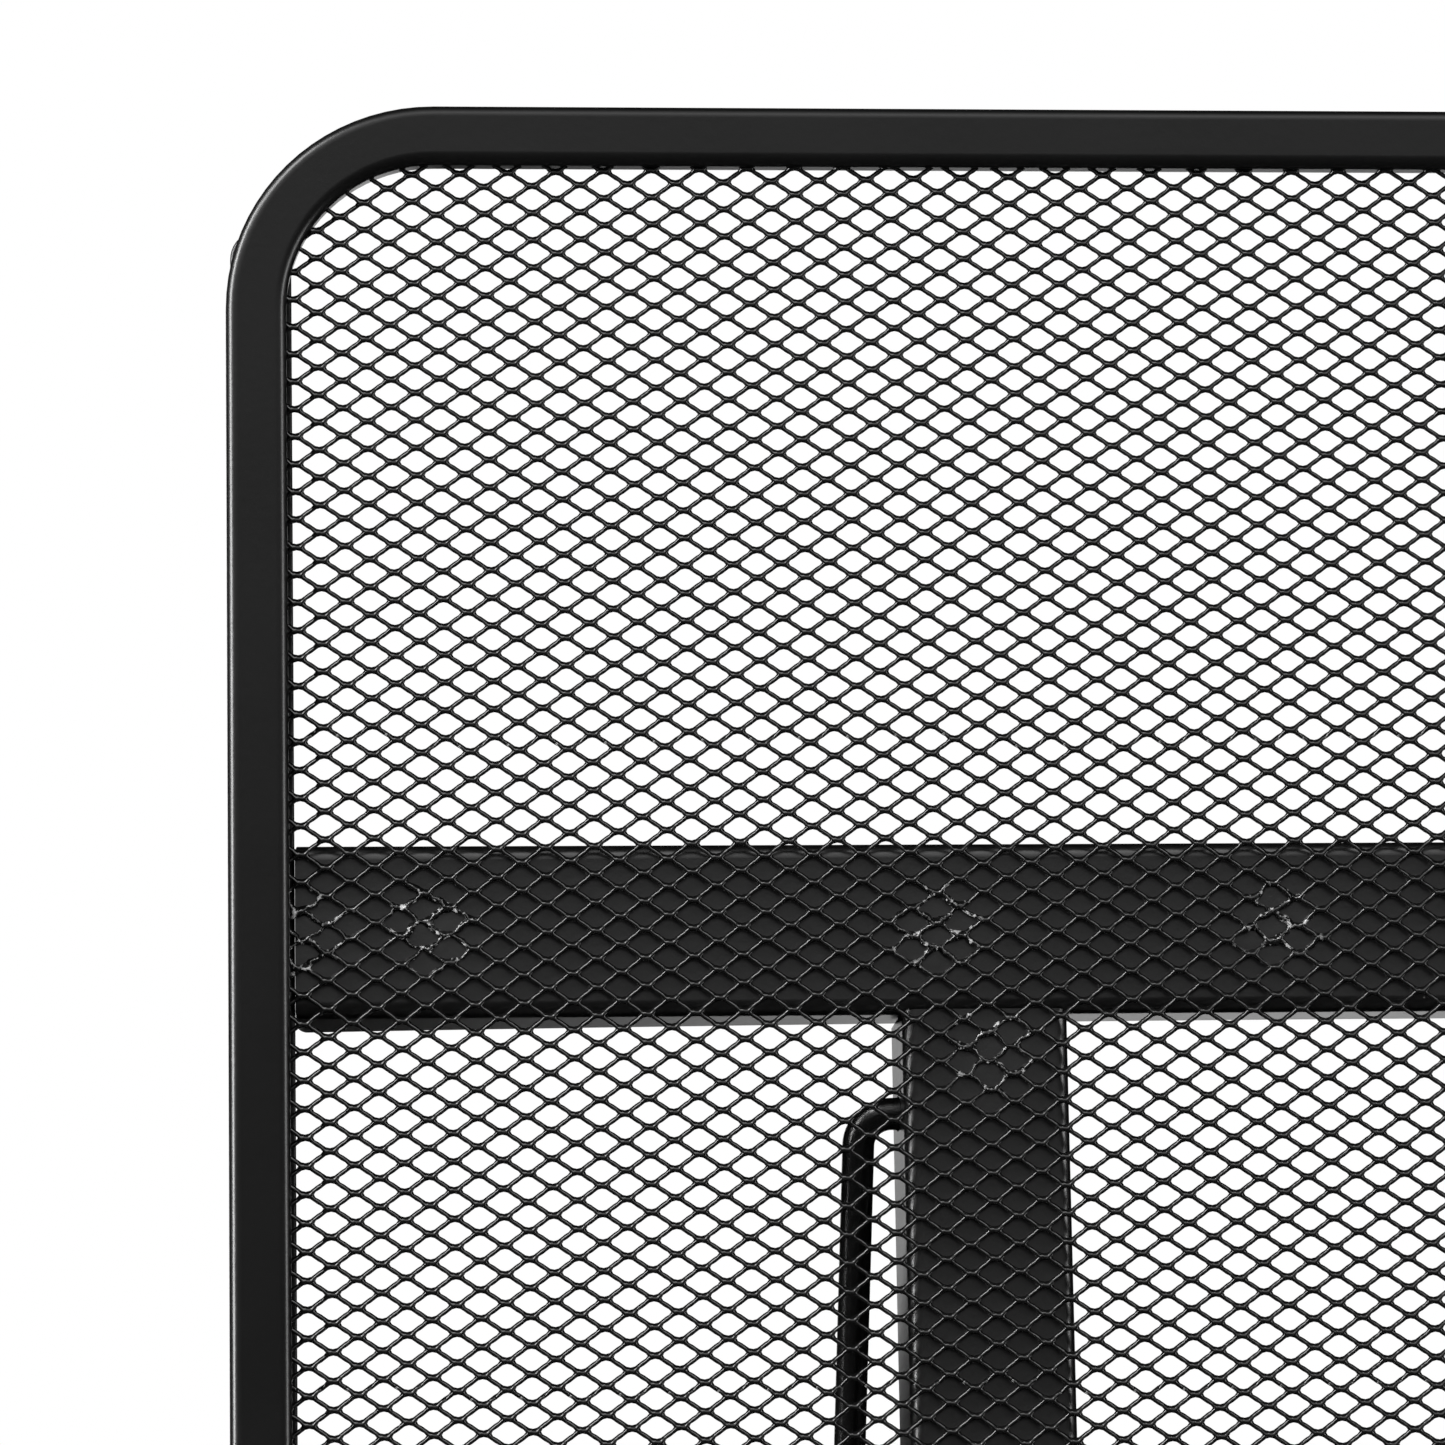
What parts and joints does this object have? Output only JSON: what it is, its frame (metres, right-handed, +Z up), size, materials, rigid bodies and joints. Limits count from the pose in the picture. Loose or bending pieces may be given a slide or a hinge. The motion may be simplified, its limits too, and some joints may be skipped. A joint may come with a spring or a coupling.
{
  "type": "magazine file holder",
  "caption": "Reclining mesh holder for magazines and files, with a rimmed expanded-metal back, a front pocket, sheet-steel stiffeners and a folding wire leg.",
  "frame": {"origin": "on the desk, under the middle of the whole object with its leg open", "axes": "+X to the right across the panel, -Y towards the reader, +Z up"},
  "size_m": [0.3, 0.1608, 0.319],
  "materials": {
    "powder_coat": "satin black powder coat on steel",
    "coated_mesh": "satin black coat on expanded steel",
    "coated_wire": "satin black coat on steel wire",
    "rubber": "matt black rubber"
  },
  "bodies": {
    "root": {"back_rim": "powder_coat", "back_mesh": "coated_mesh", "edge_strip_left": "powder_coat", "edge_strip_right": "powder_coat", "cross_channel": "powder_coat", "post_left": "powder_coat", "post_right": "powder_coat", "pocket_rim": "powder_coat", "pocket_mesh": "coated_mesh", "pocket_pan": "powder_coat", "foot_front_left": "rubber", "foot_front_right": "rubber", "foot_rear_left": "rubber", "foot_rear_right": "rubber"},
    "leg": {"leg_wire": "coated_wire", "leg_sleeve_left": "rubber", "leg_sleeve_right": "rubber"}
  },
  "joints": [
    {"name": "leg_fold", "type": "hinge", "parent": "root", "child": "leg", "pos_m": [0, 0.02213, 0.19325], "axis": [1, 0, 0], "range_deg": [-25.6, 0]}
  ]
}
